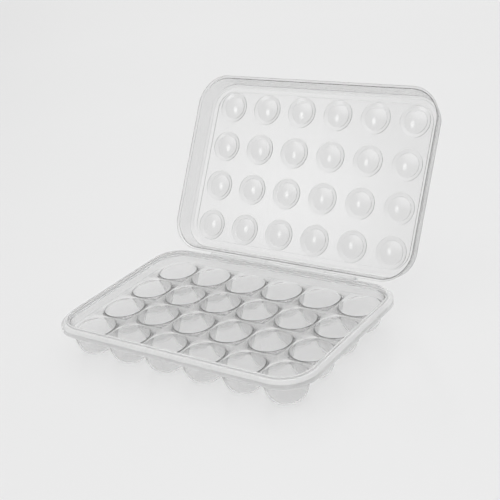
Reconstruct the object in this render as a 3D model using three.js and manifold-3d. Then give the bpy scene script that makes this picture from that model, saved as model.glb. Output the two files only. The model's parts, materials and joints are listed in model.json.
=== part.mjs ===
// Clear plastic egg tray with a hinged lid, in millimetres.
// One thin moulding holds rows of round-bottomed cups under a flanged rim. A lid of the same plan, with a
// shallow round relief over each cup, turns on a pin along the back edge and stands open on its stops.
// +X runs along the long side, +Y towards the hinge and +Z up.

import * as THREE from 'three';
import * as BufferGeometryUtils from 'three/addons/utils/BufferGeometryUtils.js';
import Module from 'manifold-3d';

const wasm = await Module();
wasm.setup();

// Cells, shared by the cups and the lid's reliefs
const columns = 6;
const rows = 4;
const cellPitch = 50;

// Plan, measured to the crest of the tray's top edge
const endMargin = 31.5;
const sideMargin = 28;
const cornerRadius = 31;

// Tray heights and wall
const trayHeight = 40.5;
const trayWall = 1.2;
const deckDepth = 14;

// Top edge, flange and apron: reach is outward from the crest, drop is down from it
const beadRadius = 1;
const collarReach = 2.9;
const collarDrop = 2.3;
const flangeReach = 6.5;
const flangeDrop = 5.1;
const apronDrop = 10.1;
const apronLip = 0.4;
const lipHeight = 0.9;

// Inner wall with its ledge: inset is inward from the crest
const ledgeInset = 3.65;
const ledgeWidth = 1.6;
const ledgeDrop = 4.5;
const footInset = 4.5;

// Cups
const cupMouthRadius = 23;
const cupPadRadius = 12.7;
const padShrink = 0.5;

// Lid
const lidWall = 1.2;
const seamGap = 0.4;
const lidMouthReach = 3.4;
const lidCrownReach = 0.2;
const lidHeadroom = 18.1;
const lidCornerInset = 3.6;
const lidCornerRise = 1.8;

// Field of the lid's panel: it is raised by a small slope inside a flat margin
const fieldMargin = 4.9;
const fieldSlope = 0.8;
const fieldRise = 0.8;

// Reliefs in the lid's field: a raised ring round a disc whose middle sinks back
const reliefRadius = 18.8;
const discRadius = 13.8;
const reliefRise = 1.8;
const discSink = 1.3;

// Hinge
const hingeLength = 200;
const knuckleCount = 5;
const knuckleGap = 0.4;
const barrelRadius = 2.5;
const pinRadius = 1.2;
const pinClearance = 0.3;
const pinHeadRadius = 2;
const pinHeadThickness = 0.8;
const hingeClearance = 0.3;
const heelLength = 4;
const openAngle = THREE.MathUtils.degToRad(121);

// Facets, and how far a cutter or a joined piece runs past the face that it meets
const cornerSteps = 5;
const cupSides = 16;
const cupSteps = 3;
const reliefSides = 16;
const barrelSides = 16;
const pinSides = 12;
const overrun = 0.5;

// Shares of the bead's radius that round the top edge off: across and down from the crest's side
const beadShares = [
  [1, 1],
  [0.85, 0.45],
  [0.4, 0],
];

// Where a relief's disc has its middle ring: share of its radius and of its sink
const discMiddleShares = [0.5, 0.75];

// Where the lid's rounded corner has its middle line: share of its inset and of its rise
const cornerMiddleShares = [0.3, 0.7];

const halfLength = (columns - 1) * cellPitch / 2 + endMargin;
const halfWidth = (rows - 1) * cellPitch / 2 + sideMargin;
const deckTop = trayHeight - deckDepth;
const axisY = halfWidth + flangeReach + hingeClearance + barrelRadius;
const axisZ = trayHeight - flangeDrop + seamGap / 2;
const knuckleStep = hingeLength / knuckleCount;

const trayMaterial = new THREE.MeshStandardMaterial({
  color: 0xf1f3f3,
  roughness: 0.12,
  metalness: 0,
  transparent: true,
  opacity: 0.35,
});
const lidMaterial = trayMaterial.clone();
const pinMaterial = new THREE.MeshStandardMaterial({
  color: 0xe8ebec,
  roughness: 0.3,
  metalness: 0,
});

// A closed three.js geometry as a solid that can be joined and cut
function solidOf(geometry) {
  const bare = geometry.clone();
  bare.deleteAttribute('normal');
  bare.deleteAttribute('uv');
  const merged = BufferGeometryUtils.mergeVertices(bare);
  return new wasm.Manifold(new wasm.Mesh({
    numProp: 3,
    vertProperties: new Float32Array(merged.attributes.position.array),
    triVerts: new Uint32Array(merged.index.array),
  }));
}

// A joined or cut solid as a three.js geometry again
function geometryOf(solid) {
  const mesh = solid.getMesh();
  const geometry = new THREE.BufferGeometry();
  geometry.setAttribute('position', new THREE.BufferAttribute(new Float32Array(mesh.vertProperties), 3));
  geometry.setIndex(new THREE.BufferAttribute(new Uint32Array(mesh.triVerts), 1));
  geometry.computeVertexNormals();
  return geometry;
}

// The rounded rectangle that lies the given distance outside the crest of the top edge
function planOutline(offset) {
  const radius = cornerRadius + offset;
  const centres = [
    [halfLength - cornerRadius, halfWidth - cornerRadius],
    [cornerRadius - halfLength, halfWidth - cornerRadius],
    [cornerRadius - halfLength, cornerRadius - halfWidth],
    [halfLength - cornerRadius, cornerRadius - halfWidth],
  ];
  const points = [];
  centres.forEach(([x, y], corner) => {
    for (let step = 0; step <= cornerSteps; step += 1) {
      const angle = (corner + step / cornerSteps) * Math.PI / 2;
      points.push(new THREE.Vector2(x + radius * Math.cos(angle), y + radius * Math.sin(angle)));
    }
  });
  return points;
}

// A closed solid through rounded rectangles, one for each [offset, height] from the lowest to the highest
function stack(levels) {
  const outlines = levels.map(([offset]) => planOutline(offset));
  const count = outlines[0].length;
  const positions = [];
  outlines.forEach((outline, level) => {
    outline.forEach((point) => positions.push(point.x, point.y, levels[level][1]));
  });
  const index = [];
  for (let level = 0; level + 1 < levels.length; level += 1) {
    for (let here = 0; here < count; here += 1) {
      const next = (here + 1) % count;
      const low = level * count;
      const high = low + count;
      index.push(low + here, low + next, high + next);
      index.push(low + here, high + next, high + here);
    }
  }
  const last = (levels.length - 1) * count;
  THREE.ShapeUtils.triangulateShape(outlines[0], []).forEach(([a, b, c]) => {
    index.push(c, b, a);
    index.push(last + a, last + b, last + c);
  });
  const geometry = new THREE.BufferGeometry();
  geometry.setAttribute('position', new THREE.Float32BufferAttribute(positions, 3));
  geometry.setIndex(index);
  return solidOf(geometry);
}

// A solid turned about an upright axis, from [radius, height] points that start and end on it
function turned(profile, sides) {
  const points = profile.map(([radius, height]) => new THREE.Vector2(radius, height));
  const geometry = new THREE.LatheGeometry(points, sides);
  geometry.rotateX(Math.PI / 2);
  return solidOf(geometry);
}

// A copy of the solid over each cell, joined to or cut from the body by the given step
function atEachCell(body, solid, combine) {
  let result = body;
  for (let row = 0; row < rows; row += 1) {
    for (let column = 0; column < columns; column += 1) {
      const x = (column - (columns - 1) / 2) * cellPitch;
      const y = (row - (rows - 1) / 2) * cellPitch;
      result = combine(result, solid.translate([x, y, 0]));
    }
  }
  return result;
}

const joined = (a, b) => a.add(b);
const cut = (a, b) => a.subtract(b);

// Height of the flange's sloping top face at a reach from the crest
function flangeHeight(reach) {
  const slope = (flangeDrop - collarDrop) / (flangeReach - collarReach);
  return trayHeight - collarDrop - (reach - collarReach) * slope;
}

// Height of the lid's sloping seat, which keeps the seam gap over the flange
const seatHeight = (reach) => flangeHeight(reach) + seamGap;

// A bar along X with the given outline of [y, z] points
function barAlongX(outline, from, to) {
  const shape = new THREE.Shape(outline.map(([y, z]) => new THREE.Vector2(y, z)));
  const geometry = new THREE.ExtrudeGeometry(shape, { depth: to - from, bevelEnabled: false });
  const alongX = new THREE.Matrix4().makeBasis(
    new THREE.Vector3(0, 1, 0),
    new THREE.Vector3(0, 0, 1),
    new THREE.Vector3(1, 0, 0),
  );
  geometry.applyMatrix4(alongX);
  geometry.translate(from, 0, 0);
  return solidOf(geometry);
}

// A round rod on the hinge axis whose flats lie the given radius from it
function rodOnAxis(radius, sides, from, to) {
  const corner = radius / Math.cos(Math.PI / sides);
  const geometry = new THREE.CylinderGeometry(corner, corner, to - from, sides);
  geometry.rotateZ(Math.PI / 2);
  geometry.translate((from + to) / 2, axisY, axisZ);
  return solidOf(geometry);
}

// Ends along X of the numbered knuckle, clear of its neighbours
function knuckleEnds(number) {
  const start = number * knuckleStep - hingeLength / 2;
  return [start + knuckleGap / 2, start + knuckleStep - knuckleGap / 2];
}

// The moulding with its knuckles: a barrel and an arm for every other place along the hinge, bored for the pin
function withKnuckles(moulding, first, armOutlines) {
  let result = moulding;
  for (let number = first; number < knuckleCount; number += 2) {
    const [from, to] = knuckleEnds(number);
    result = result.add(rodOnAxis(barrelRadius, barrelSides, from, to));
    armOutlines.forEach((outline) => {
      result = result.add(barAlongX(outline, from, to));
    });
  }
  const reach = hingeLength / 2 + overrun;
  return result.subtract(rodOnAxis(pinRadius + pinClearance, barrelSides, -reach, reach));
}

// Levels that round the tray's top edge off, on the outside or the inside of the crest
function beadLevels(side) {
  return beadShares.map(([across, down]) => [side * across * beadRadius, trayHeight - down * beadRadius]);
}

// Profile of a cup from its pad to its mouth: a quarter of an ellipse
function cupProfile(padRadius, mouthRadius, bottom, top) {
  const points = [[0, bottom]];
  for (let step = 0; step <= cupSteps; step += 1) {
    const angle = (1 - step / cupSteps) * Math.PI / 2;
    points.push([
      padRadius + (mouthRadius - padRadius) * Math.cos(angle),
      top - (top - bottom) * Math.sin(angle),
    ]);
  }
  return points;
}

function makeTray() {
  const apronInset = flangeReach - apronLip;
  const apronInner = apronInset - trayWall;
  const roofHeight = trayHeight - collarDrop - trayWall;
  const lipTop = trayHeight - apronDrop + lipHeight;

  // Outer skin of the rim, from the foot of the apron to the crest
  const outerSkin = stack([
    [flangeReach, trayHeight - apronDrop],
    [flangeReach, lipTop],
    [apronInset, lipTop + apronLip],
    [apronInset, trayHeight - flangeDrop - apronLip],
    [flangeReach, trayHeight - flangeDrop],
    [collarReach, trayHeight - collarDrop],
    [beadRadius, trayHeight - collarDrop],
    ...beadLevels(1),
  ]);

  // Space under the flange, behind the apron
  const slope = (flangeDrop - collarDrop) / (flangeReach - collarReach);
  const underDrop = trayWall * Math.hypot(1, slope);
  const apronSpace = stack([
    [apronInner, trayHeight - apronDrop - overrun],
    [apronInner, flangeHeight(apronInner) - underDrop],
    [collarReach - (underDrop - trayWall) / slope, roofHeight],
  ]);

  // Outer skin of the wall and underside of the deck
  const upperInset = ledgeInset - ledgeWidth;
  const wallSkin = stack([
    [trayWall - footInset, deckTop - trayWall],
    [trayWall - ledgeInset, trayHeight - ledgeDrop - trayWall],
    [trayWall - upperInset, trayHeight - ledgeDrop - trayWall],
    [trayWall - beadRadius, roofHeight],
    [trayWall - beadRadius, roofHeight + trayWall / 2],
  ]);

  // The open space above the deck, with the ledge round it
  const hollow = stack([
    [-footInset, deckTop],
    [-ledgeInset, trayHeight - ledgeDrop],
    [-upperInset, trayHeight - ledgeDrop],
    ...beadLevels(-1),
    [-beadShares.at(-1)[0] * beadRadius, trayHeight + overrun],
  ]);

  const cupOutside = cupProfile(cupPadRadius, cupMouthRadius + trayWall, 0, deckTop - trayWall / 2);
  cupOutside.push([0, deckTop - trayWall / 2]);
  const cupInside = cupProfile(cupPadRadius - padShrink, cupMouthRadius, trayWall, deckTop);
  cupInside.push([cupMouthRadius, deckTop + overrun]);
  cupInside.push([0, deckTop + overrun]);

  let tray = outerSkin.subtract(apronSpace).add(wallSkin).subtract(hollow);
  tray = atEachCell(tray, turned(cupOutside, cupSides), joined);
  tray = atEachCell(tray, turned(cupInside, cupSides), cut);

  // The arms run from inside the apron to the hinge axis, below the seam
  const armRoot = halfWidth + apronInset - trayWall / 2;
  const armTop = trayHeight - flangeDrop - apronLip;
  const arm = [
    [armRoot, axisZ - barrelRadius],
    [axisY, axisZ - barrelRadius],
    [axisY, armTop],
    [armRoot, armTop],
  ];
  return withKnuckles(tray, 0, [arm]);
}

function makeLid() {
  const fieldInside = trayHeight + lidHeadroom;
  const marginInside = fieldInside - fieldRise;
  const cornerBottom = marginInside - lidCornerRise;
  const marginReach = lidCrownReach - lidCornerInset;
  const fieldReach = marginReach - fieldMargin;
  const [insetShare, riseShare] = cornerMiddleShares;
  const middleReach = lidCrownReach - insetShare * lidCornerInset;
  const middleRise = riseShare * lidCornerRise;
  const shoulder = lidMouthReach + lidWall;

  // Outer skin, from the seam up to the field's top face
  const outerSkin = stack([
    [flangeReach, seatHeight(flangeReach) - overrun],
    [flangeReach, seatHeight(flangeReach) + lidWall],
    [shoulder, seatHeight(shoulder) + lidWall],
    [lidCrownReach + lidWall, cornerBottom],
    [middleReach + lidWall, cornerBottom + middleRise + lidWall / 2],
    [marginReach, marginInside + lidWall],
    [fieldReach, marginInside + lidWall],
    [fieldReach - fieldSlope, fieldInside + lidWall],
  ]);

  // Inner skin, from below the sloping seat to the field's inside face
  const innerSkin = stack([
    [flangeReach + overrun, seatHeight(flangeReach + overrun) - overrun],
    [flangeReach + overrun, seatHeight(flangeReach + overrun)],
    [lidMouthReach, seatHeight(lidMouthReach)],
    [lidCrownReach, cornerBottom],
    [middleReach, cornerBottom + middleRise],
    [marginReach, marginInside],
    [fieldReach, marginInside],
    [fieldReach - fieldSlope, fieldInside],
  ]);

  // Profile of a relief above the given face of the field, from its outer ring to its middle
  const [middleShare, middleSinkShare] = discMiddleShares;
  const reliefProfile = (face) => [
    [reliefRadius, face],
    [discRadius, face + reliefRise],
    [discRadius * middleShare, face + reliefRise - discSink * middleSinkShare],
    [0, face + reliefRise - discSink],
  ];
  const reliefOutside = [
    [0, fieldInside + lidWall / 2],
    [reliefRadius, fieldInside + lidWall / 2],
    ...reliefProfile(fieldInside + lidWall),
  ];
  const reliefInside = [
    [0, fieldInside - overrun],
    [reliefRadius, fieldInside - overrun],
    ...reliefProfile(fieldInside),
  ];

  let lid = outerSkin.subtract(innerSkin);
  lid = atEachCell(lid, turned(reliefOutside, reliefSides), joined);
  lid = atEachCell(lid, turned(reliefInside, reliefSides), cut);

  // The arms run from inside the flange to the hinge axis, above the seam
  const lift = lidWall / 4;
  const armRoot = flangeReach - lidWall;
  const arm = [
    [halfWidth + armRoot, seatHeight(armRoot) + lift],
    [halfWidth + flangeReach, seatHeight(flangeReach) + lift],
    [axisY, seatHeight(flangeReach) + lift],
    [axisY, axisZ + barrelRadius],
    [halfWidth + armRoot, axisZ + barrelRadius],
  ];

  // The heels stand square to the barrel, so that with the lid open they lie flat against the apron
  const heel = [
    [barrelRadius, 0],
    [0, 0],
    [0, -heelLength],
    [barrelRadius, -heelLength],
  ].map(([out, along]) => {
    const back = -out * Math.cos(openAngle) - along * Math.sin(openAngle);
    const up = out * Math.sin(openAngle) * -1 + along * Math.cos(openAngle);
    return [axisY + back, axisZ + up];
  });
  return withKnuckles(lid, 1, [arm, heel]);
}

function makePin() {
  const reach = hingeLength / 2 + hingeClearance;
  let pin = rodOnAxis(pinRadius, pinSides, -reach - pinHeadThickness / 2, reach + pinHeadThickness / 2);
  pin = pin.add(rodOnAxis(pinHeadRadius, pinSides, reach, reach + pinHeadThickness));
  return pin.add(rodOnAxis(pinHeadRadius, pinSides, -reach - pinHeadThickness, -reach));
}

function namedMesh(name, solid, material) {
  const mesh = new THREE.Mesh(geometryOf(solid), material);
  mesh.name = name;
  return mesh;
}

const model = new THREE.Group();
model.add(namedMesh('tray', makeTray(), trayMaterial));
model.add(namedMesh('hinge_pin', makePin(), pinMaterial));

// The lid is drawn closed, then turned open about the hinge axis
const hinge = new THREE.Group();
hinge.position.set(0, axisY, axisZ);
hinge.rotation.x = -openAngle;
const lid = namedMesh('lid', makeLid(), lidMaterial);
lid.position.set(0, -axisY, -axisZ);
hinge.add(lid);
model.add(hinge);

// Origin at the middle of the bottom of the whole, as it stands open
const box = new THREE.Box3().setFromObject(model, true);
const middle = box.getCenter(new THREE.Vector3());
const part = new THREE.Group();
model.position.set(-middle.x, -middle.y, -box.min.z);
part.add(model);

export default part;
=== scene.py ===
"""Clear plastic egg tray with its lid open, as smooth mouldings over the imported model."""

import json
import math

import bmesh
import bpy
from bpy.props import FloatProperty, FloatVectorProperty, IntProperty, PointerProperty, StringProperty
from mathutils import Matrix, Quaternion, Vector


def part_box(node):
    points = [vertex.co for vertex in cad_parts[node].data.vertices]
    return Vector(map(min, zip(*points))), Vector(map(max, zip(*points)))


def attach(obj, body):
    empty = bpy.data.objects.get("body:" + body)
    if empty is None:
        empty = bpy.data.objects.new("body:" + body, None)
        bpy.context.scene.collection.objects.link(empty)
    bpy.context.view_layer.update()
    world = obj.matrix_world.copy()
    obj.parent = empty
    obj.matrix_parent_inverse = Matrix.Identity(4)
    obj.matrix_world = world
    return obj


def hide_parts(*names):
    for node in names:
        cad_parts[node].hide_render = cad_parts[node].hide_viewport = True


bl_info = {
    "name": "Clear egg tray",
    "version": (1, 0, 0),
    "blender": (4, 5, 0),
    "location": "View3D > Sidebar > Egg tray",
    "description": "Builds the smooth mouldings and the hinge of a clear egg tray, and a pale studio",
    "category": "Add Mesh",
}

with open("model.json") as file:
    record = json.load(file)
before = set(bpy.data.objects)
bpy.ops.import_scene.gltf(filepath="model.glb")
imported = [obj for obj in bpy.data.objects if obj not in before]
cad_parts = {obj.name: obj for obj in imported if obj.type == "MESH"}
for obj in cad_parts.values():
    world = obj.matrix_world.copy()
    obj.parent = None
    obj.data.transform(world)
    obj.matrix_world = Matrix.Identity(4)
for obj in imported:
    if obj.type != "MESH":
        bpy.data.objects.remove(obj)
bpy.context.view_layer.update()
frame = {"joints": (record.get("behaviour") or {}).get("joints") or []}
TRAY_LOW, TRAY_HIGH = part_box("tray")
LID_LOW, LID_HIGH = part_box("lid")
PIN_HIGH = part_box("hinge_pin")[1]
HINGE = frame["joints"][0]

MM = 0.001

# Shares of a moulding's wall: the rounding of its small corners, and the least gap between its rings
SOFTENING = 1 / 3
SQUEEZE = 1 / 30

# Finishes of the mould's faces, as the mesh attribute "satin" holds them
POLISHED, SATIN, MILKY = 0.0, 0.5, 1.0


def length(name, millimetres, description):
    """A property that holds a length, with its default given in millimetres."""
    return FloatProperty(
        name=name, description=description, default=millimetres * MM, unit="LENGTH", precision=4
    )


def share(name, value, description):
    """A property that holds a share between 0 and 1."""
    return FloatProperty(
        name=name, description=description, default=value, min=0, max=1, subtype="FACTOR"
    )


def colour(name, value, description):
    """A property that holds an sRGB hex colour."""
    return StringProperty(name=name, description=description, default=value)


class GridSizes(bpy.types.PropertyGroup):
    columns: IntProperty(name="Columns", description="Cells along the long side", default=6, min=1)
    rows: IntProperty(name="Rows", description="Cells across the tray", default=4, min=1)
    pitch: length("Cell pitch", 50, "Distance between the middles of two cells")
    corner_radius: length("Corner radius", 31, "Plan radius of the top edge's corners")
    spokes: IntProperty(name="Spokes", description="Facets round each cell", default=64, min=16)


class TraySizes(bpy.types.PropertyGroup):
    wall: length("Wall", 1.2, "Thickness of the moulding")
    deck_depth: length("Deck depth", 14, "Drop from the top edge to the deck between the cups")
    bead_radius: length("Bead radius", 1, "Half the width of the rounded top edge")
    bead_fullness: share("Bead fullness", 0.95, "Rounding of the top edge, as a share of its radius")
    collar_reach: length("Collar reach", 2.9, "Where the flange starts, outward from the top edge")
    collar_drop: length("Collar drop", 2.3, "Depth of the collar under the top edge")
    flange_reach: length("Flange reach", 6.5, "Outer edge of the flange, outward from the top edge")
    flange_drop: length("Flange drop", 5.1, "Depth of the flange's outer edge")
    apron_drop: length("Apron drop", 10.1, "Depth of the apron's lower edge")
    apron_lip: length("Apron lip", 0.4, "How far the flange and the lower lip stand out from the apron")
    lip_height: length("Lip height", 0.9, "Height of the apron's lower lip")
    ledge_inset: length("Ledge inset", 3.65, "Inner edge of the ledge, inward from the top edge")
    ledge_width: length("Ledge width", 1.6, "Width of the ledge inside the wall")
    ledge_drop: length("Ledge drop", 4.5, "Depth of the ledge under the top edge")
    foot_inset: length("Foot inset", 4.5, "Where the wall meets the deck, inward from the top edge")
    mouth_radius: length("Cup mouth radius", 23, "Inside radius of a cup at the deck")
    mouth_fillet: length("Cup mouth fillet", 0.9, "Rounding between a cup and the deck")
    mouth_wall: share("Cup mouth wall", 0.75, "Thickness of a cup at its mouth, as a share of the wall")
    pad_radius: length("Cup pad radius", 12.7, "Outside radius of the flat pad under a cup")
    pad_shrink: length("Pad shrink", 0.5, "How much smaller the cup's floor is inside")


class LidSizes(bpy.types.PropertyGroup):
    wall: length("Wall", 1.2, "Thickness of the moulding")
    seam_gap: length("Seam gap", 0.4, "Height left between the closed lid and the tray's flange")
    mouth_reach: length("Mouth reach", 3.4, "Inside of the wall at the flange, out from the top edge")
    crown_reach: length("Crown reach", 0.2, "Inside of the wall under the rounded corner")
    headroom: length("Headroom", 18.1, "From the tray's top edge to the closed lid's panel")
    corner_inset: length("Corner inset", 3.6, "Width of the rounded corner")
    corner_rise: length("Corner rise", 1.8, "Height of the rounded corner")
    corner_radius: length("Corner rounding", 1.8, "Rounding of the corner's two creases inside")
    outer_margin: length("Outer margin", 1.8, "How much farther out the margin reaches on the outside")
    outer_crown: length("Outer crown", 0.72, "How much farther out the wall starts on the outside")
    outer_drop: length("Outer drop", 0.4, "How far under the margin the wall starts on the outside")
    field_margin: length("Field margin", 4.9, "Width of the flat margin round the raised field")
    field_slope: length("Field slope", 0.8, "Width of the slope up to the field")
    field_rise: length("Field rise", 0.8, "Height of the field over the margin")
    relief_radius: length("Relief radius", 18.8, "Outer ring of a relief")
    disc_radius: length("Disc radius", 13.8, "Inner ring of a relief")
    relief_rise: length("Relief rise", 1.8, "Height of the inner ring over the field")
    step_width: length("Step width", 0.5, "Width of the steep step at each ring of a relief")
    step_rise: length("Step rise", 0.5, "Height of the steep step at each ring of a relief")
    disc_sink: length("Disc sink", 2.4, "How far the middle of a relief sinks back from the inner ring")


class HingeSizes(bpy.types.PropertyGroup):
    hinge_length: length("Hinge length", 200, "Length of all the knuckles together")
    knuckles: IntProperty(name="Knuckles", description="Knuckles of both mouldings", default=5, min=2)
    knuckle_gap: length("Knuckle gap", 0.4, "Gap between two knuckles")
    barrel_radius: length("Barrel radius", 2.5, "Outside radius of a knuckle")
    clearance: length("Clearance", 0.3, "Gap between a barrel and the flange, and round the pin")
    pin_radius: length("Pin radius", 1.2, "Radius of the pin")
    head_radius: length("Pin head radius", 2, "Radius of the pin's flattened ends")
    head_thickness: length("Pin head thickness", 0.8, "Thickness of the pin's flattened ends")
    heel: length("Heel", 4, "How far a stop heel reaches from the hinge axis")


class Finish(bpy.types.PropertyGroup):
    plastic: colour("Plastic", "F6F6F6", "Tint of the clear mouldings")
    shade: colour("Shade", "FAFAFA", "Light that passes one face of the mouldings")
    rod: colour("Pin", "E6E9EA", "Colour of the hinge pin")
    floor: colour("Floor", "F0F0F0", "Colour of the floor")
    light: colour("Light", "FAFAFA", "Colour of the room's light")
    polypropylene_ior: FloatProperty(
        name="Polypropylene IOR", description="Refraction of the mouldings and the pin", default=1.49
    )
    laminate_ior: FloatProperty(
        name="Laminate IOR", description="Refraction of the floor's skin", default=1.5
    )
    clearness: share("Clearness", 0.98, "Share of light through polished and satin plastic")
    milky_clearness: share("Milky clearness", 0.5, "Share of light through the milky flanges")
    rod_clearness: share("Pin clearness", 0.5, "Share of light through the thick pin")
    gloss: share("Roughness", 0.04, "Roughness where the mould is polished, in cups and reliefs")
    satin: share("Satin roughness", 0.22, "Roughness where the mould is satin, on flats and flanges")
    rod_gloss: share("Pin roughness", 0.25, "Roughness of the pin where it is smoothest")
    rod_grain: share("Pin grain", 0.1, "How much rougher the pin is elsewhere")
    floor_gloss: share("Floor roughness", 0.15, "Roughness of the floor")
    flow_size: length("Flow size", 14, "Size of the faint waves that the mould leaves")
    flow_detail: FloatProperty(
        name="Flow detail", description="Steps of finer waves on the waves", default=1.0
    )
    flow_falloff: share("Flow falloff", 0.4, "Height of the finer waves, as a share of the larger ones")
    flow_depth: length("Flow depth", 0.4, "Depth of the waves before their strength is taken")
    flow_strength: share("Flow strength", 0.01, "How much of the waves' depth shows")


class StageSizes(bpy.types.PropertyGroup):
    camera_azimuth: FloatProperty(
        name="Azimuth", description="Turn of the camera round the tray", default=math.radians(37.33),
        subtype="ANGLE",
    )
    camera_elevation: FloatProperty(
        name="Elevation", description="Height of the camera over the horizon",
        default=math.radians(23.95), subtype="ANGLE",
    )
    camera_roll: FloatProperty(
        name="Roll", description="Turn of the picture about the view's axis",
        default=math.radians(-7.53), subtype="ANGLE",
    )
    camera_place: FloatVectorProperty(
        name="Camera place", description="Place of the camera from the middle of the tray's foot",
        default=(0.62866, -0.76557, 0.54097), subtype="TRANSLATION",
    )
    camera_focal: FloatProperty(
        name="Focal length", description="In picture widths", default=2.04466
    )
    room_light: FloatProperty(name="Room", description="Brightness of the room all round", default=0.3)
    overhead_light: FloatProperty(name="Overhead", description="Brightness overhead", default=1.72)
    backdrop_light: FloatProperty(
        name="Backdrop", description="Brightness behind, and the least that the camera sees",
        default=0.85,
    )
    window_power: FloatProperty(
        name="Window", description="Power of the soft window", default=8.0, unit="POWER"
    )
    window_width: length("Window width", 800, "Width of the soft window")
    window_height: length("Window height", 1200, "Height of the soft window")
    window_distance: length("Window distance", 2000, "From the middle of the lid to the soft window")
    window_direction: FloatVectorProperty(
        name="Window direction", description="From the middle of the lid to the soft window",
        default=(-0.48, -0.69, 0.475),
    )
    window_turn: FloatProperty(
        name="Window turn", description="Turn of the window about its own middle",
        default=math.radians(33), subtype="ANGLE",
    )


MOULDING_MATERIAL = "clear_injection_moulded_polypropylene"
ROD_MATERIAL = "smooth_polypropylene_rod"
FLOOR_MATERIAL = "satin_laminate_floor"


def linear(hex_colour):
    """An sRGB hex value as a linear RGBA colour."""
    values = [int(hex_colour[i:i + 2], 16) / 255 for i in (0, 2, 4)]
    return [v / 12.92 if v <= 0.04045 else ((v + 0.055) / 1.055) ** 2.4 for v in values] + [1]


def add_node(tree, kind, inputs=None, **settings):
    """A new node with its settings, and each input either linked or set."""
    node = tree.nodes.new(kind)
    for key, value in settings.items():
        setattr(node, key, value)
    for key, value in (inputs or {}).items():
        if isinstance(value, bpy.types.NodeSocket):
            tree.links.new(value, node.inputs[key])
        else:
            node.inputs[key].default_value = value
    return node


def new_material(name):
    """An empty node material with only its output."""
    material = bpy.data.materials.new(name)
    material.use_nodes = True
    material.node_tree.nodes.clear()
    return material, material.node_tree, material.node_tree.nodes.new("ShaderNodeOutputMaterial")


def clear_plastic(finish):
    """Injection-moulded clear polypropylene.

    The cups and the reliefs come from a polished mould, so they are clear and glossy. The flats between
    them are satin, which softens what they mirror. The flanges and the knuckles scatter light as well,
    so they look milky. Faint waves follow the flow of the plastic.
    """
    if MOULDING_MATERIAL in bpy.data.materials:
        return bpy.data.materials[MOULDING_MATERIAL]
    material, tree, output = new_material(MOULDING_MATERIAL)
    place = add_node(tree, "ShaderNodeTexCoord")
    waves = add_node(tree, "ShaderNodeTexNoise", {
        "Vector": place.outputs["Object"],
        "Scale": 1 / finish.flow_size,
        "Detail": finish.flow_detail,
        "Roughness": finish.flow_falloff,
    })
    bump = add_node(tree, "ShaderNodeBump", {
        "Strength": finish.flow_strength,
        "Distance": finish.flow_depth,
        "Height": waves.outputs["Fac"],
    })
    mould = add_node(tree, "ShaderNodeAttribute", attribute_name="satin")
    rough = add_node(tree, "ShaderNodeMapRange", {
        "Value": mould.outputs["Fac"],
        "From Max": SATIN,
        "To Min": finish.gloss,
        "To Max": finish.satin,
    })
    clear = add_node(tree, "ShaderNodeMapRange", {
        "Value": mould.outputs["Fac"],
        "From Min": SATIN,
        "To Min": finish.clearness,
        "To Max": finish.milky_clearness,
    })
    shader = add_node(tree, "ShaderNodeBsdfPrincipled", {
        "Base Color": linear(finish.plastic),
        "Roughness": rough.outputs["Result"],
        "IOR": finish.polypropylene_ior,
        "Transmission Weight": clear.outputs["Result"],
        "Normal": bump.outputs["Normal"],
    })

    # Light falls through the thin walls on what lies under them, less what each face keeps back
    ray = add_node(tree, "ShaderNodeLightPath")
    lighting = add_node(tree, "ShaderNodeMath", {
        0: ray.outputs["Is Shadow Ray"], 1: ray.outputs["Is Diffuse Ray"],
    }, operation="MAXIMUM")
    through = add_node(tree, "ShaderNodeBsdfTransparent", {"Color": linear(finish.shade)})
    mixed = add_node(tree, "ShaderNodeMixShader", {
        0: lighting.outputs["Value"], 1: shader.outputs["BSDF"], 2: through.outputs["BSDF"],
    })
    tree.links.new(mixed.outputs["Shader"], output.inputs["Surface"])
    return material


def rod_plastic(finish):
    """Extruded natural polypropylene rod: thicker than the mouldings, so it looks milky and soft."""
    material, tree, output = new_material(ROD_MATERIAL)
    place = add_node(tree, "ShaderNodeTexCoord")
    grain = add_node(tree, "ShaderNodeTexNoise", {
        "Vector": place.outputs["Object"],
        "Scale": 1 / finish.flow_size,
    })
    rough = add_node(tree, "ShaderNodeMapRange", {
        "Value": grain.outputs["Fac"],
        "To Min": finish.rod_gloss,
        "To Max": finish.rod_gloss + finish.rod_grain,
    })
    shader = add_node(tree, "ShaderNodeBsdfPrincipled", {
        "Base Color": linear(finish.rod),
        "Roughness": rough.outputs["Result"],
        "IOR": finish.polypropylene_ior,
        "Transmission Weight": finish.rod_clearness,
    })
    tree.links.new(shader.outputs["BSDF"], output.inputs["Surface"])
    return material


def floor_finish(finish):
    """Pale satin laminate, which mirrors what stands on it softly."""
    material, tree, output = new_material(FLOOR_MATERIAL)
    shader = add_node(tree, "ShaderNodeBsdfPrincipled", {
        "Base Color": linear(finish.floor),
        "Roughness": finish.floor_gloss,
        "IOR": finish.laminate_ior,
    })
    tree.links.new(shader.outputs["BSDF"], output.inputs["Surface"])
    return material


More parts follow.
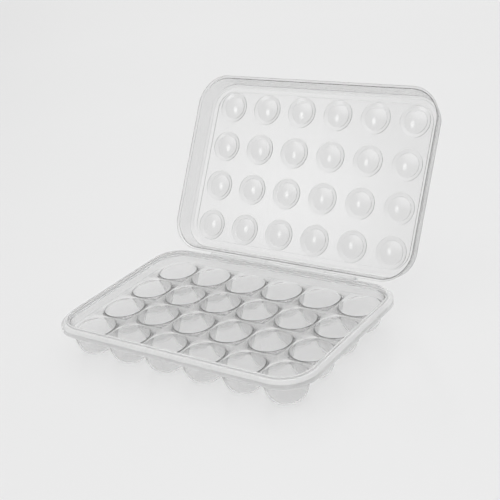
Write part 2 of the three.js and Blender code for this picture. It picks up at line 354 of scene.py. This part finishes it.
class Plan:
    """Where the tray lies in the frame: the rounded outline of its top edge, and the cells in it."""

    def __init__(self, scene):
        grid, tray, hinge = scene.grid_sizes, scene.tray_sizes, scene.hinge_sizes
        axis = Vector(HINGE["pos_m"])
        self.grid = grid
        self.axis = axis
        self.top = TRAY_HIGH.z
        self.half_length = TRAY_HIGH.x - tray.flange_reach
        behind = tray.flange_reach + hinge.clearance + hinge.barrel_radius
        self.half_width = (axis.y - TRAY_LOW.y - behind - tray.flange_reach) / 2
        self.middle = axis.y - behind - self.half_width
        self.open_angle = math.radians(HINGE["range_deg"][1])

    def outline(self, offset):
        """Half length, half width and corner radius of the outline at an offset from the top edge."""
        return self.half_length + offset, self.half_width + offset, self.grid.corner_radius + offset

    def outward(self, x, y, offset):
        """Direction square to the outline at one of its points, measured from the tray's middle."""
        half_length, half_width, radius = self.outline(offset)
        across = max(abs(x) - half_length + radius, 0)
        along = max(abs(y) - half_width + radius, 0)
        size = math.hypot(across, along)
        return math.copysign(across / size, x), math.copysign(along / size, y)

    def cell(self, column, row):
        """Middle of a cell, measured from the tray's middle."""
        grid = self.grid
        steps = Vector((column - (grid.columns - 1) / 2, row - (grid.rows - 1) / 2))
        return steps * grid.pitch

    def cell_corner(self, column, row, side_x, side_y, offset):
        """Reach of a cell to one of its corners, and whether that corner is one of the outline's."""
        grid = self.grid
        middle = self.cell(column, row)
        half_length, half_width, _ = self.outline(offset)
        at_end = column == (grid.columns - 1 if side_x > 0 else 0)
        at_side = row == (grid.rows - 1 if side_y > 0 else 0)
        edge_x = half_length - side_x * middle.x if at_end else grid.pitch / 2
        edge_y = half_width - side_y * middle.y if at_side else grid.pitch / 2
        return edge_x, edge_y, at_end and at_side

    def spokes(self, column, row, offset, guide, tiny=1e-9):
        """Direction and reach of each spoke from a cell's middle to the cell's edge or the outline.

        One spoke is turned into each square corner of the cell, the same one for every offset that has
        the same guide.
        """
        found = []
        step = math.tau / self.grid.spokes
        radius = self.outline(offset)[2]
        for number in range(self.grid.spokes):
            aim = Vector((math.cos(number * step), math.sin(number * step)))
            side_x = 1 if aim.x >= 0 else -1
            side_y = 1 if aim.y >= 0 else -1
            guide_x, guide_y, _ = self.cell_corner(column, row, side_x, side_y, guide)
            edge_x, edge_y, rounded = self.cell_corner(column, row, side_x, side_y, offset)
            past_corner = math.atan2(abs(aim.y), abs(aim.x)) - math.atan2(guide_y, guide_x)
            if abs(past_corner) < step / 2 and not rounded:
                aim = Vector((side_x * edge_x, side_y * edge_y)).normalized()
            reach = min(edge_x / max(abs(aim.x), tiny), edge_y / max(abs(aim.y), tiny))
            if rounded:
                centre = Vector((side_x * (edge_x - radius), side_y * (edge_y - radius)))
                past = aim * reach - centre
                if past.x * side_x > 0 and past.y * side_y > 0:
                    along = aim.dot(centre)
                    reach = along + math.sqrt(along ** 2 - centre.length_squared + radius ** 2)
            found.append((aim, reach))
        return found


def rounded_line(points, steps=4, share_of_side=0.48, straight=1e-4):
    """The points of a line whose corners are rounded: each point is (across, up, radius).

    A rounding takes no more than a share of the sides that it joins, and a straight line gets none.
    """
    line = [Vector(points[0][:2])]
    for before, here, after in zip(points, points[1:], points[2:]):
        corner = Vector(here[:2])
        back = Vector(before[:2]) - corner
        ahead = Vector(after[:2]) - corner
        turn = back.angle(ahead, math.pi)
        radius = here[2]
        if radius <= 0 or abs(turn - math.pi) < straight:
            line.append(corner)
            continue
        shorter = min(back.length, ahead.length)
        cut = min(radius / math.tan(turn / 2), shorter * share_of_side)
        start = corner + back.normalized() * cut
        end = corner + ahead.normalized() * cut
        for step in range(steps + 1):
            t = step / steps
            line.append(start * (1 - t) ** 2 + corner * 2 * t * (1 - t) + end * t ** 2)
    line.append(Vector(points[-1][:2]))
    return line


def cell_sheet(mesh, plan, profile, offset, guide, squeeze, polished):
    """One continuous sheet over all the cells.

    The profile gives (radius, height) from a cell's middle outward, and the sheet ends at the outline
    that lies offset outside the top edge. It is polished within a radius. It returns the loop of points
    on the outline, in order.
    """
    satin = mesh.verts.layers.float["satin"]
    grid = plan.grid
    edges = []
    for row in range(grid.rows):
        for column in range(grid.columns):
            spokes = plan.spokes(column, row, offset, guide)
            at = plan.cell(column, row) + Vector((0, plan.middle))
            rings = []
            for number, (radius, height) in enumerate(profile[1:], 1):
                left = squeeze * (len(profile) - number)
                ring = []
                for aim, reach in spokes:
                    spot = at + aim * min(radius, reach - left)
                    ring.append(mesh.verts.new((spot.x, spot.y, height)))
                    ring[-1][satin] = POLISHED if radius <= polished else SATIN
                rings.append(ring)
            ring = []
            for aim, reach in spokes:
                spot = at + aim * reach
                ring.append(mesh.verts.new((spot.x, spot.y, profile[-1][1])))
                ring[-1][satin] = SATIN
            rings.append(ring)
            edges += ring
            crown = mesh.verts.new((at.x, at.y, profile[0][1]))
            count = len(spokes)
            for here in range(count):
                after = (here + 1) % count
                mesh.faces.new((crown, rings[0][here], rings[0][after]))
                for inner, outer in zip(rings, rings[1:]):
                    mesh.faces.new((inner[here], outer[here], outer[after], inner[after]))
    bmesh.ops.remove_doubles(mesh, verts=edges, dist=squeeze / 4)
    return outline_loop(mesh, plan)


def outline_loop(mesh, plan):
    """The open edge of the newest sheet as a loop, anticlockwise from the middle of the +X end."""
    neighbours = {}
    for edge in mesh.edges:
        if len(edge.link_faces) == 1 and not edge.tag:
            for one, other in (edge.verts, reversed(edge.verts)):
                neighbours.setdefault(one, []).append(other)
    start = max(neighbours, key=lambda v: v.co.x - abs(v.co.y - plan.middle))
    loop = [start, max(neighbours[start], key=lambda v: v.co.y)]
    while True:
        first, second = neighbours[loop[-1]]
        following = first if first is not loop[-2] else second
        if following is start:
            return loop
        loop.append(following)


def sweep(mesh, plan, loop, offset, section, flange):
    """Carries the loop along a section of (offset, height) points, and returns the last loop.

    From the flange's offset outward the skin is milky.
    """
    satin = mesh.verts.layers.float["satin"]
    outward = [plan.outward(v.co.x, v.co.y - plan.middle, offset) for v in loop]
    places = [(v.co.x, v.co.y) for v in loop]
    for reach, height in section:
        fresh = []
        for (x, y), (out_x, out_y) in zip(places, outward):
            step = reach - offset
            fresh.append(mesh.verts.new((x + out_x * step, y + out_y * step, height)))
            fresh[-1][satin] = SATIN if reach < flange else MILKY
        bridge(mesh, loop, fresh)
        loop = fresh
    return loop


def bridge(mesh, loop, other):
    """Faces between two loops of as many points."""
    count = len(loop)
    for here in range(count):
        after = (here + 1) % count
        mesh.faces.new((loop[here], other[here], other[after], loop[after]))


def moulding(plan, skins, squeeze, polished, flange):
    """A closed thin-walled shell from two skins, each (profile, offset, section).

    It is polished within a radius of each cell's middle, and milky from the flange's offset outward.
    """
    mesh = bmesh.new()
    mesh.verts.layers.float.new("satin")
    ends = []
    for profile, offset, section in skins:
        loop = cell_sheet(mesh, plan, profile, offset, skins[0][1], squeeze, polished)
        last = sweep(mesh, plan, loop, offset, section, flange)
        ends.append(last)
        for edge in mesh.edges:
            edge.tag = True
    bridge(mesh, *ends)
    bmesh.ops.recalc_face_normals(mesh, faces=mesh.faces)
    return mesh


def quarter_bowl(pad, mouth, bottom, top, steps=14):
    """(radius, height) points up a quarter of an ellipse from a flat pad to an upright mouth."""
    points = []
    for step in range(steps + 1):
        angle = (1 - step / steps) * math.pi / 2
        points.append((pad + (mouth - pad) * math.cos(angle), top - (top - bottom) * math.sin(angle)))
    return points


def finish_piece(name, mesh, material, body, smooth=True):
    """Turns a bmesh into a shown object that rides on a body."""
    data = bpy.data.meshes.new(name)
    mesh.to_mesh(data)
    mesh.free()
    data.materials.append(material)
    if smooth:
        data.shade_smooth()
    piece = bpy.data.objects.new(name, data)
    bpy.context.scene.collection.objects.link(piece)
    if smooth:
        weights = piece.modifiers.new("flat faces stay flat", "WEIGHTED_NORMAL")
        weights.keep_sharp = True
    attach(piece, body)
    return piece


def flange_slope(tray):
    """Drop of the tray's flange for each unit outward."""
    return (tray.flange_drop - tray.collar_drop) / (tray.flange_reach - tray.collar_reach)


def open_lid(plan, mesh):
    """Turns a closed lid's mesh about the hinge axis to where the lid stands open."""
    there = Matrix.Translation(plan.axis)
    turn = Matrix.Rotation(-plan.open_angle, 4, "X")
    mesh.transform(there @ turn @ there.inverted())


def ray_exit(outline, direction, parallel=1e-12, slack=1e-6):
    """How far a ray from the origin runs before it leaves a convex outline that holds the origin."""
    found = 0
    for first, second in zip(outline, outline[1:] + outline[:1]):
        side = second - first
        across = direction.cross(side)
        if abs(across) < parallel:
            continue
        along = first.cross(side) / across
        part = first.cross(direction) / across
        if along > 0 and -slack <= part <= 1 + slack:
            found = max(found, along)
    return found


def knuckle_mesh(plan, hinge, spans, arms, corners=96, digits=6):
    """Bored knuckles along X: a barrel joined with arms, each a convex outline about the hinge axis."""
    mesh = bmesh.new()
    barrel = hinge.barrel_radius
    angles = [number * math.tau / corners for number in range(corners)]
    angles += [math.atan2(p.y, p.x) % math.tau for arm in arms for p in arm if p.length > barrel]
    outer, inner = [], []
    for angle in sorted(set(round(a, digits) for a in angles)):
        direction = Vector((math.cos(angle), math.sin(angle)))
        reach = max([barrel] + [ray_exit(arm, direction) for arm in arms])
        outer.append(direction * reach)
        inner.append(direction * (hinge.pin_radius + hinge.clearance))
    for start, end in spans:
        rings = []
        for ring, x in ((inner, start), (outer, start), (outer, end), (inner, end)):
            rings.append([mesh.verts.new((x, plan.axis.y + p.x, plan.axis.z + p.y)) for p in ring])
        for ring, following in zip(rings, rings[1:] + rings[:1]):
            bridge(mesh, ring, following)
    bmesh.ops.recalc_face_normals(mesh, faces=mesh.faces)
    satin = mesh.verts.layers.float.new("satin")
    for vert in mesh.verts:
        vert[satin] = MILKY
    return mesh


def knuckle_spans(hinge, first):
    """Start and end along X of every other knuckle."""
    step = hinge.hinge_length / hinge.knuckles
    spans = []
    for number in range(first, hinge.knuckles, 2):
        start = number * step - hinge.hinge_length / 2
        spans.append((start + hinge.knuckle_gap / 2, start + step - hinge.knuckle_gap / 2))
    return spans


class EGGTRAY_OT_tray(bpy.types.Operator):
    """Build the tray: cups, deck, wall, top edge, flange and apron in one moulding"""

    bl_idname = "eggtray.tray"
    bl_label = "Tray"
    fillet_steps = 4

    def execute(self, context):
        scene = context.scene
        tray = scene.tray_sizes
        plan = Plan(scene)
        top, wall = plan.top, tray.wall
        deck = top - tray.deck_depth
        apron = tray.flange_reach - tray.apron_lip
        upper_inset = tray.ledge_inset - tray.ledge_width
        slope = flange_slope(tray)
        under = wall * math.hypot(1, slope)
        soft = wall * SOFTENING
        squeeze = wall * SQUEEZE

        # Upper skin: the inside of the cups, the deck, the wall, the top edge, the flange and the apron
        inside = quarter_bowl(
            tray.pad_radius - tray.pad_shrink, tray.mouth_radius - tray.mouth_fillet / 2, wall,
            deck - tray.mouth_fillet,
        )
        for step in range(1, self.fillet_steps + 1):
            angle = step / self.fillet_steps * math.pi / 2
            inside.append((
                tray.mouth_radius + tray.mouth_fillet * (0.5 - math.cos(angle)),
                deck - tray.mouth_fillet * (1 - math.sin(angle)),
            ))
        inside.insert(0, (0, wall))
        edge = -tray.foot_inset - soft
        bead_rounding = tray.bead_radius * tray.bead_fullness
        lip_top = top - tray.apron_drop + tray.lip_height
        upper = rounded_line([
            (edge, deck, 0),
            (-tray.foot_inset, deck, soft),
            (-tray.ledge_inset, top - tray.ledge_drop, soft),
            (-upper_inset, top - tray.ledge_drop, soft),
            (-tray.bead_radius, top, bead_rounding),
            (tray.bead_radius, top, bead_rounding),
            (tray.bead_radius, top - tray.collar_drop, soft),
            (tray.collar_reach, top - tray.collar_drop, soft),
            (tray.flange_reach, top - tray.flange_drop, soft),
            (apron, top - tray.flange_drop - tray.apron_lip, soft / 2),
            (apron, lip_top + tray.apron_lip, soft / 2),
            (tray.flange_reach, lip_top, soft / 2),
            (tray.flange_reach, top - tray.apron_drop, soft / 2),
            (apron - wall / 2, top - tray.apron_drop, 0),
        ])[1:]

        # Under skin: the outside of the cups, the deck from below, the wall and the inside of the apron
        mouth = tray.mouth_radius + wall * tray.mouth_wall
        outside = quarter_bowl(tray.pad_radius, mouth, 0, deck - wall)
        outside.insert(0, (0, 0))
        roof = top - tray.collar_drop - wall
        under_edge = wall - tray.foot_inset - soft / 2
        apron_inside = apron - wall
        apron_roof = top - tray.collar_drop - (apron_inside - tray.collar_reach) * slope - under
        below = rounded_line([
            (under_edge, deck - wall, 0),
            (wall - tray.foot_inset, deck - wall, soft * SOFTENING),
            (wall - tray.ledge_inset, top - tray.ledge_drop - wall, soft),
            (wall - upper_inset, top - tray.ledge_drop - wall, soft),
            (wall - tray.bead_radius, roof, soft),
            (tray.collar_reach - (under - wall) / slope, roof, soft),
            (apron_inside, apron_roof, soft),
            (apron_inside, top - tray.apron_drop, 0),
        ])[1:]
        skins = [(inside, edge, upper), (outside, under_edge, below)]
        mesh = moulding(plan, skins, squeeze, tray.mouth_radius, -tray.bead_radius)
        plastic = clear_plastic(scene.finish)
        piece = finish_piece("tray_moulding", mesh, plastic, "tray")
        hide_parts("tray")
        return {"FINISHED"}


class EGGTRAY_OT_lid(bpy.types.Operator):
    """Build the lid: flange, wall, rounded corner, panel and its round reliefs in one moulding"""

    bl_idname = "eggtray.lid"
    bl_label = "Lid"

    # Where the inner and the outer skin end on the flange's rim, as shares of the wall
    rim_ends = (0.5, 0.6)

    def execute(self, context):
        scene = context.scene
        tray, lid = scene.tray_sizes, scene.lid_sizes
        plan = Plan(scene)
        top, wall = plan.top, lid.wall
        field = top + lid.headroom
        margin = field - lid.field_rise
        slope = flange_slope(tray)

        def seat(reach):
            """Height of the closed lid's underside over the tray's flange."""
            return top - tray.collar_drop - (reach - tray.collar_reach) * slope + lid.seam_gap

        soft = wall * SOFTENING
        squeeze = wall * SQUEEZE
        crown = margin - lid.corner_rise
        margin_reach = lid.crown_reach - lid.corner_inset
        field_reach = margin_reach - lid.field_margin
        shoulder = lid.mouth_reach + wall

        # Each skin runs from the field over its margin and rounded corner, down the wall, to the flange
        edge = field_reach - lid.field_slope - soft
        rim = seat(tray.flange_reach)
        inner_end, outer_end = (rim + wall * part for part in self.rim_ends)
        inner = rounded_line([
            (edge, field, 0),
            (field_reach - lid.field_slope, field, soft),
            (field_reach, margin, soft),
            (margin_reach, margin, lid.corner_radius),
            (lid.crown_reach, crown, lid.corner_radius),
            (lid.mouth_reach, seat(lid.mouth_reach), soft),
            (tray.flange_reach, rim, soft / 2),
            (tray.flange_reach, inner_end, 0),
        ])[1:]
        outer = rounded_line([
            (edge, field + wall, 0),
            (field_reach - lid.field_slope, field + wall, soft),
            (field_reach, margin + wall, soft),
            (margin_reach + lid.outer_margin, margin + wall, soft),
            (lid.crown_reach + lid.outer_crown, margin - lid.outer_drop, soft),
            (shoulder, seat(shoulder) + wall, soft),
            (tray.flange_reach, rim + wall, soft / 2),
            (tray.flange_reach, outer_end, 0),
        ])[1:]
        skins = [
            (self.relief(lid, field), edge, inner),
            (self.relief(lid, field + wall), edge, outer),
        ]
        mesh = moulding(plan, skins, squeeze, lid.relief_radius, tray.flange_reach)
        open_lid(plan, mesh)
        piece = finish_piece("lid_moulding", mesh, clear_plastic(scene.finish), "lid")
        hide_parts("lid")
        return {"FINISHED"}

    def relief(self, lid, face, steps=6):
        """(radius, height) points of a relief from its middle out to the field's face."""
        ring = face + lid.relief_rise
        soft = lid.wall / 2
        points = []
        for step in range(steps):
            part = step / steps
            points.append((lid.disc_radius * part, ring - lid.disc_sink * (1 - part ** 2)))
        line = rounded_line([
            (lid.disc_radius - soft, ring - lid.disc_sink * 2 * soft / lid.disc_radius, 0),
            (lid.disc_radius, ring, soft / 2),
            (lid.disc_radius + lid.step_width, ring - lid.step_rise, soft / 2),
            (lid.relief_radius - lid.step_width, face + lid.step_rise, soft / 2),
            (lid.relief_radius, face, soft / 2),
            (lid.relief_radius + soft, face, 0),
        ], steps=3)
        return points + [(p.x, p.y) for p in line]


class EGGTRAY_OT_hinge(bpy.types.Operator):
    """Build the hinge: the knuckles of both mouldings and the pin through them"""

    bl_idname = "eggtray.hinge"
    bl_label = "Hinge"

    def execute(self, context):
        scene = context.scene
        tray, lid, hinge = scene.tray_sizes, scene.lid_sizes, scene.hinge_sizes
        plan = Plan(scene)
        plastic = clear_plastic(scene.finish)
        radius = hinge.barrel_radius
        edge = -radius - hinge.clearance
        low = plan.top - tray.flange_drop - tray.apron_lip - plan.axis.z
        root = edge - tray.apron_lip - tray.wall / 2

        # The tray's arms run under the seam into the apron
        arm = [Vector(p) for p in ((0, -radius), (0, low), (root, low), (root, -radius))]
        mesh = knuckle_mesh(plan, hinge, knuckle_spans(hinge, 0), [arm])
        finish_piece("tray_knuckles", mesh, plastic, "tray", smooth=False)

        # The lid's arms run over the seam into its flange, and its heels stop just short of the apron
        # when it stands open
        high = plan.top - tray.flange_drop + lid.seam_gap + lid.wall / 4 - plan.axis.z
        slope = flange_slope(tray)
        root = edge - lid.wall
        arm = [Vector(p) for p in (
            (0, radius), (root, radius), (root, high + lid.wall * slope), (edge, high), (0, high),
        )]
        turn = Matrix.Rotation(plan.open_angle, 2)
        corners = ((0, 0), (-radius, 0), (-radius, -hinge.heel), (0, -hinge.heel))
        heel = [turn @ Vector(p) for p in corners]
        mesh = knuckle_mesh(plan, hinge, knuckle_spans(hinge, 1), [arm, heel])
        open_lid(plan, mesh)
        finish_piece("lid_knuckles", mesh, plastic, "lid", smooth=False)

        self.pin(scene, plan, hinge)
        return {"FINISHED"}

    def pin(self, scene, plan, hinge, sides=48):
        """The pin: a round rod whose ends are flattened into low heads."""
        reach = PIN_HIGH.x
        neck = reach - hinge.head_thickness
        bevel = hinge.head_thickness / 4
        half = rounded_line([
            (0, hinge.pin_radius, 0),
            (neck, hinge.pin_radius, bevel),
            (neck, hinge.head_radius, bevel),
            (reach, hinge.head_radius, bevel),
            (reach, hinge.head_radius / 2, 0),
        ])
        profile = [Vector((-p.x, p.y)) for p in reversed(half)] + half[1:]
        mesh = bmesh.new()
        rings = []
        for point in profile:
            ring = []
            for number in range(sides):
                angle = number * math.tau / sides
                y = plan.axis.y + point.y * math.cos(angle)
                z = plan.axis.z + point.y * math.sin(angle)
                ring.append(mesh.verts.new((point.x, y, z)))
            rings.append(ring)
        for ring, following in zip(rings, rings[1:]):
            bridge(mesh, ring, following)
        mesh.faces.new(rings[0])
        mesh.faces.new(rings[-1])
        bmesh.ops.recalc_face_normals(mesh, faces=mesh.faces)
        piece = finish_piece("pin_rod", mesh, rod_plastic(scene.finish), "tray")
        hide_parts("hinge_pin")


class EGGTRAY_OT_stage(bpy.types.Operator):
    """Build the stage: floor, room, soft window and camera"""

    bl_idname = "eggtray.stage"
    bl_label = "Stage"

    def execute(self, context):
        scene = context.scene
        stage = scene.stage_sizes
        plan = Plan(scene)
        self.floor(scene)
        self.room(scene)
        self.window(scene, stage)
        self.camera(scene, stage, plan)
        scene.view_settings.view_transform = "Standard"
        self.light_paths(scene)
        return {"FINISHED"}

    def light_paths(self, scene, deepest=32):
        """Enough bounces for a view through all the walls that stand behind each other."""
        scene.cycles.max_bounces = deepest
        scene.cycles.transmission_bounces = deepest
        scene.cycles.transparent_max_bounces = deepest

    def floor(self, scene, size=12, gap=0.0002):
        """A wide floor that lies just under the tray."""
        mesh = bmesh.new()
        bmesh.ops.create_grid(mesh, x_segments=1, y_segments=1, size=size / 2)
        data = bpy.data.meshes.new("floor")
        mesh.to_mesh(data)
        mesh.free()
        data.materials.append(floor_finish(scene.finish))
        floor = bpy.data.objects.new("floor", data)
        floor.location.z = -gap
        scene.collection.objects.link(floor)

    def room(self, scene, overhead=(0.55, 0.95), behind=(0.1, 0.8)):
        """A room that is bright overhead, pale behind the tray and dim elsewhere.

        On a ball of radius 1 its light rises between two heights overhead and between two depths behind.
        The camera itself sees a pale backdrop all round.
        """
        stage = scene.stage_sizes
        world = bpy.data.worlds.new("soft_room")
        scene.world = world
        world.use_nodes = True
        tree = world.node_tree
        tree.nodes.clear()
        place = add_node(tree, "ShaderNodeTexCoord")
        axes = add_node(tree, "ShaderNodeSeparateXYZ", {"Vector": place.outputs["Generated"]})
        ceiling = add_node(tree, "ShaderNodeMapRange", {
            "Value": axes.outputs["Z"], "From Min": overhead[0], "From Max": overhead[1],
            "To Min": stage.room_light, "To Max": stage.overhead_light,
        }, interpolation_type="SMOOTHSTEP")
        back_wall = add_node(tree, "ShaderNodeMapRange", {
            "Value": axes.outputs["Y"], "From Min": behind[0], "From Max": behind[1],
            "To Min": 0.0, "To Max": stage.backdrop_light,
        }, interpolation_type="SMOOTHSTEP")
        total = add_node(tree, "ShaderNodeMath", {
            0: ceiling.outputs["Result"], 1: back_wall.outputs["Result"],
        }, operation="MAXIMUM")
        ray = add_node(tree, "ShaderNodeLightPath")
        backdrop = add_node(tree, "ShaderNodeMath", {
            0: ray.outputs["Is Camera Ray"], 1: stage.backdrop_light,
        }, operation="MULTIPLY")
        seen = add_node(tree, "ShaderNodeMath", {
            0: total.outputs["Value"], 1: backdrop.outputs["Value"],
        }, operation="MAXIMUM")
        background = add_node(tree, "ShaderNodeBackground", {
            "Color": linear(scene.finish.light), "Strength": seen.outputs["Value"],
        })
        output = add_node(tree, "ShaderNodeOutputWorld")
        tree.links.new(background.outputs["Background"], output.inputs["Surface"])

    def window(self, scene, stage, middle=(0.5, 0.5, 0), core=0.1, rim=0.5):
        """One soft window that the lid and its reliefs mirror.

        It is brightest in its core and dark at its rim, both as shares of its width and height.
        """
        lamp = bpy.data.lights.new("window", "AREA")
        lamp.shape = "RECTANGLE"
        lamp.size, lamp.size_y = stage.window_width, stage.window_height
        lamp.energy = stage.window_power
        lamp.use_nodes = True
        tree = lamp.node_tree
        place = add_node(tree, "ShaderNodeNewGeometry")
        off_middle = add_node(tree, "ShaderNodeVectorMath", {
            0: place.outputs["Parametric"], 1: middle,
        }, operation="DISTANCE")
        fading = add_node(tree, "ShaderNodeMapRange", {
            "Value": off_middle.outputs["Value"],
            "From Min": core,
            "From Max": rim,
            "To Min": 1,
            "To Max": 0,
        }, interpolation_type="SMOOTHSTEP")
        tree.links.new(fading.outputs["Result"], tree.nodes["Emission"].inputs["Strength"])
        light = bpy.data.objects.new("window", lamp)
        away = Vector(stage.window_direction).normalized()
        light.location = LID_LOW.lerp(LID_HIGH, 0.5) + away * stage.window_distance
        facing = away.to_track_quat("Z", "Y") @ Quaternion((0, 0, 1), stage.window_turn)
        light.rotation_euler = facing.to_euler()
        scene.collection.objects.link(light)

    def camera(self, scene, stage, plan, film_width=36):
        """The camera that looks at the tray as the photograph does."""
        azimuth, elevation, roll = stage.camera_azimuth, stage.camera_elevation, stage.camera_roll
        right = Vector((math.cos(azimuth), math.sin(azimuth), 0))
        back = Vector((
            math.sin(azimuth) * math.cos(elevation),
            -math.cos(azimuth) * math.cos(elevation),
            math.sin(elevation),
        ))
        up = back.cross(right)
        side = right * math.cos(roll) + up * math.sin(roll)
        over = up * math.cos(roll) - right * math.sin(roll)
        data = bpy.data.cameras.new("camera")
        data.sensor_width = film_width
        data.lens = stage.camera_focal * film_width
        camera = bpy.data.objects.new("camera", data)
        place = Vector(stage.camera_place) + Vector((0, plan.middle, 0))
        facing = Matrix((side, over, back)).transposed().to_4x4()
        camera.matrix_world = Matrix.Translation(place) @ facing
        scene.collection.objects.link(camera)
        scene.camera = camera


class EGGTRAY_PT_panel(bpy.types.Panel):
    """Lists the pieces and their sizes"""

    bl_idname = "EGGTRAY_PT_panel"
    bl_label = "Egg tray"
    bl_space_type = "VIEW_3D"
    bl_region_type = "UI"
    bl_category = "Egg tray"

    def draw(self, context):
        for operator in OPERATORS:
            self.layout.operator(operator.bl_idname)
        for group, (_, label) in GROUPS.items():
            box = self.layout.box()
            box.label(text=label)
            settings = getattr(context.scene, group)
            for key in settings.bl_rna.properties.keys():
                if key not in {"rna_type", "name"}:
                    box.prop(settings, key)


GROUPS = {
    "grid_sizes": (GridSizes, "Cells"),
    "tray_sizes": (TraySizes, "Tray"),
    "lid_sizes": (LidSizes, "Lid"),
    "hinge_sizes": (HingeSizes, "Hinge"),
    "finish": (Finish, "Finish"),
    "stage_sizes": (StageSizes, "Stage"),
}
OPERATORS = (EGGTRAY_OT_tray, EGGTRAY_OT_lid, EGGTRAY_OT_hinge, EGGTRAY_OT_stage)


def register():
    """Registers the sizes, the operators and the panel."""
    for group, (kind, _) in GROUPS.items():
        bpy.utils.register_class(kind)
        setattr(bpy.types.Scene, group, PointerProperty(type=kind))
    for kind in (*OPERATORS, EGGTRAY_PT_panel):
        bpy.utils.register_class(kind)


def unregister():
    """Takes them away again."""
    for kind in (EGGTRAY_PT_panel, *OPERATORS):
        bpy.utils.unregister_class(kind)
    for group, (kind, _) in GROUPS.items():
        delattr(bpy.types.Scene, group)
        bpy.utils.unregister_class(kind)


def main():
    """Builds the pieces and the stage."""
    register()
    bpy.ops.eggtray.tray()
    bpy.ops.eggtray.lid()
    bpy.ops.eggtray.hinge()
    bpy.ops.eggtray.stage()


if __name__ == "__main__":
    main()
